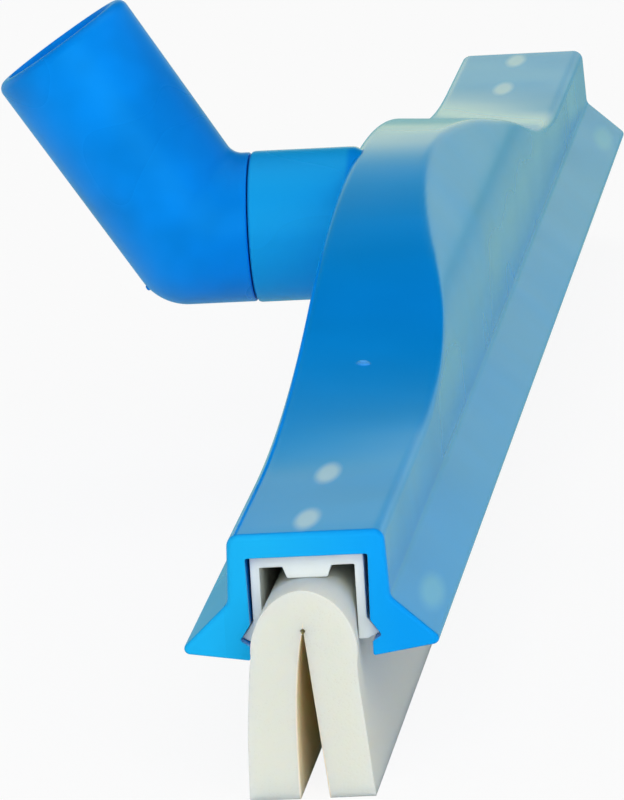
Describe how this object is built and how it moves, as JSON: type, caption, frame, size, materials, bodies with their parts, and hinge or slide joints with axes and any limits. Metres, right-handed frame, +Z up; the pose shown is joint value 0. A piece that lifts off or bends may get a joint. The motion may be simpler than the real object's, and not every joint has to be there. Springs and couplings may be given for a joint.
{
  "type": "window cleaning squeegee",
  "caption": "Wide squeegee head with a humped blue channel, splash skirts, a revolving elbow neck with a pole socket, and a slide-in cassette holding a folded foam double blade.",
  "frame": {"origin": "on the floor, under the middle of the head, where the two leaves of the blade meet it", "axes": "+X along the blade, +Y towards the neck and its handle socket, +Z up from the floor"},
  "size_m": [0.624, 0.1096, 0.1033],
  "materials": {
    "blue_polypropylene": "moulded, satin to gloss",
    "white_polypropylene": "extruded, satin",
    "cellular_rubber": "closed-cell foam, matt",
    "ring_rubber": "solid rubber, satin"
  },
  "bodies": {
    "head": {"squeegee_body": "blue_polypropylene"},
    "neck": {"neck_elbow": "blue_polypropylene", "retaining_clip": "white_polypropylene", "friction_ring": "ring_rubber"},
    "cassette": {"cassette_frame": "white_polypropylene", "foam_blade": "cellular_rubber"}
  },
  "joints": [
    {"name": "neck_swivel", "type": "hinge", "parent": "head", "child": "neck", "pos_m": [0, 0.0356, 0.0547], "axis": [0, 1, 0], "continuous": true},
    {"name": "cassette_slide", "type": "slide", "parent": "head", "child": "cassette", "axis": [1, 0, 0], "range_m": [-0.58, 0.58]}
  ]
}
